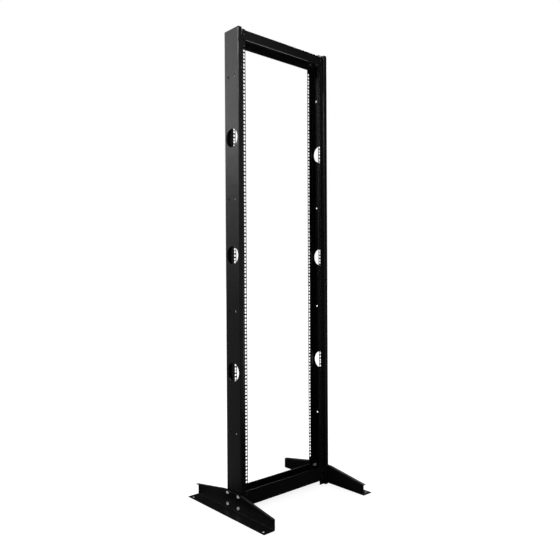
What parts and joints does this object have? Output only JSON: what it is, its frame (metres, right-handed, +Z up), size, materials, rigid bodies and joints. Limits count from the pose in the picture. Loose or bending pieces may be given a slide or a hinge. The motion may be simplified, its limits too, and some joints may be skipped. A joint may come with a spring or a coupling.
{
  "type": "open-frame relay rack",
  "caption": "Open-frame relay rack: stepped channel posts with square mounting holes and round cable holes, joined by angle crossbars, on long flanged floor feet.",
  "frame": {"origin": "middle of the footprint, on the floor", "axes": "+Z up along the posts; X across the rack from the left post to the right post as seen from the front; -Y is the front, +Y the rear"},
  "size_m": [0.6668, 0.546, 2.104],
  "materials": {
    "black_powder_coat": "satin black powder coat with a fine texture",
    "bright_zinc": "bright zinc plate",
    "black_zinc": "black zinc plate"
  },
  "bodies": {
    "root": {"angle_nut_bottom_left_front_1": "black_zinc", "angle_nut_bottom_left_front_2": "black_zinc", "angle_nut_bottom_left_rear_1": "black_zinc", "angle_nut_bottom_left_rear_2": "black_zinc", "angle_nut_bottom_right_front_1": "black_zinc", "angle_nut_bottom_right_front_2": "black_zinc", "angle_nut_bottom_right_rear_1": "black_zinc", "angle_nut_bottom_right_rear_2": "black_zinc", "angle_nut_top_left_front_1": "black_zinc", "angle_nut_top_left_rear_1": "black_zinc", "angle_nut_top_right_front_1": "black_zinc", "angle_nut_top_right_rear_1": "black_zinc", "angle_screw_bottom_left_front_1": "black_zinc", "angle_screw_bottom_left_front_2": "black_zinc", "angle_screw_bottom_left_rear_1": "black_zinc", "angle_screw_bottom_left_rear_2": "black_zinc", "angle_screw_bottom_right_front_1": "black_zinc", "angle_screw_bottom_right_front_2": "black_zinc", "angle_screw_bottom_right_rear_1": "black_zinc", "angle_screw_bottom_right_rear_2": "black_zinc", "angle_screw_top_left_front_1": "black_zinc", "angle_screw_top_left_rear_1": "black_zinc", "angle_screw_top_right_front_1": "black_zinc", "angle_screw_top_right_rear_1": "black_zinc", "bottom_front_angle": "black_powder_coat", "bottom_rear_angle": "black_powder_coat", "foot_bolt_left_front_lower": "bright_zinc", "foot_bolt_left_front_upper": "bright_zinc", "foot_bolt_left_rear_lower": "bright_zinc", "foot_bolt_left_rear_upper": "bright_zinc", "foot_bolt_right_front_lower": "bright_zinc", "foot_bolt_right_front_upper": "bright_zinc", "foot_bolt_right_rear_lower": "bright_zinc", "foot_bolt_right_rear_upper": "bright_zinc", "foot_nut_left_front_lower": "bright_zinc", "foot_nut_left_front_upper": "bright_zinc", "foot_nut_left_rear_lower": "bright_zinc", "foot_nut_left_rear_upper": "bright_zinc", "foot_nut_right_front_lower": "bright_zinc", "foot_nut_right_front_upper": "bright_zinc", "foot_nut_right_rear_lower": "bright_zinc", "foot_nut_right_rear_upper": "bright_zinc", "foot_washer_left_front_lower": "bright_zinc", "foot_washer_left_front_upper": "bright_zinc", "foot_washer_left_rear_lower": "bright_zinc", "foot_washer_left_rear_upper": "bright_zinc", "foot_washer_right_front_lower": "bright_zinc", "foot_washer_right_front_upper": "bright_zinc", "foot_washer_right_rear_lower": "bright_zinc", "foot_washer_right_rear_upper": "bright_zinc", "left_foot": "black_powder_coat", "left_post": "black_powder_coat", "right_foot": "black_powder_coat", "right_post": "black_powder_coat", "top_front_angle": "black_powder_coat", "top_rear_angle": "black_powder_coat"}
  },
  "joints": []
}
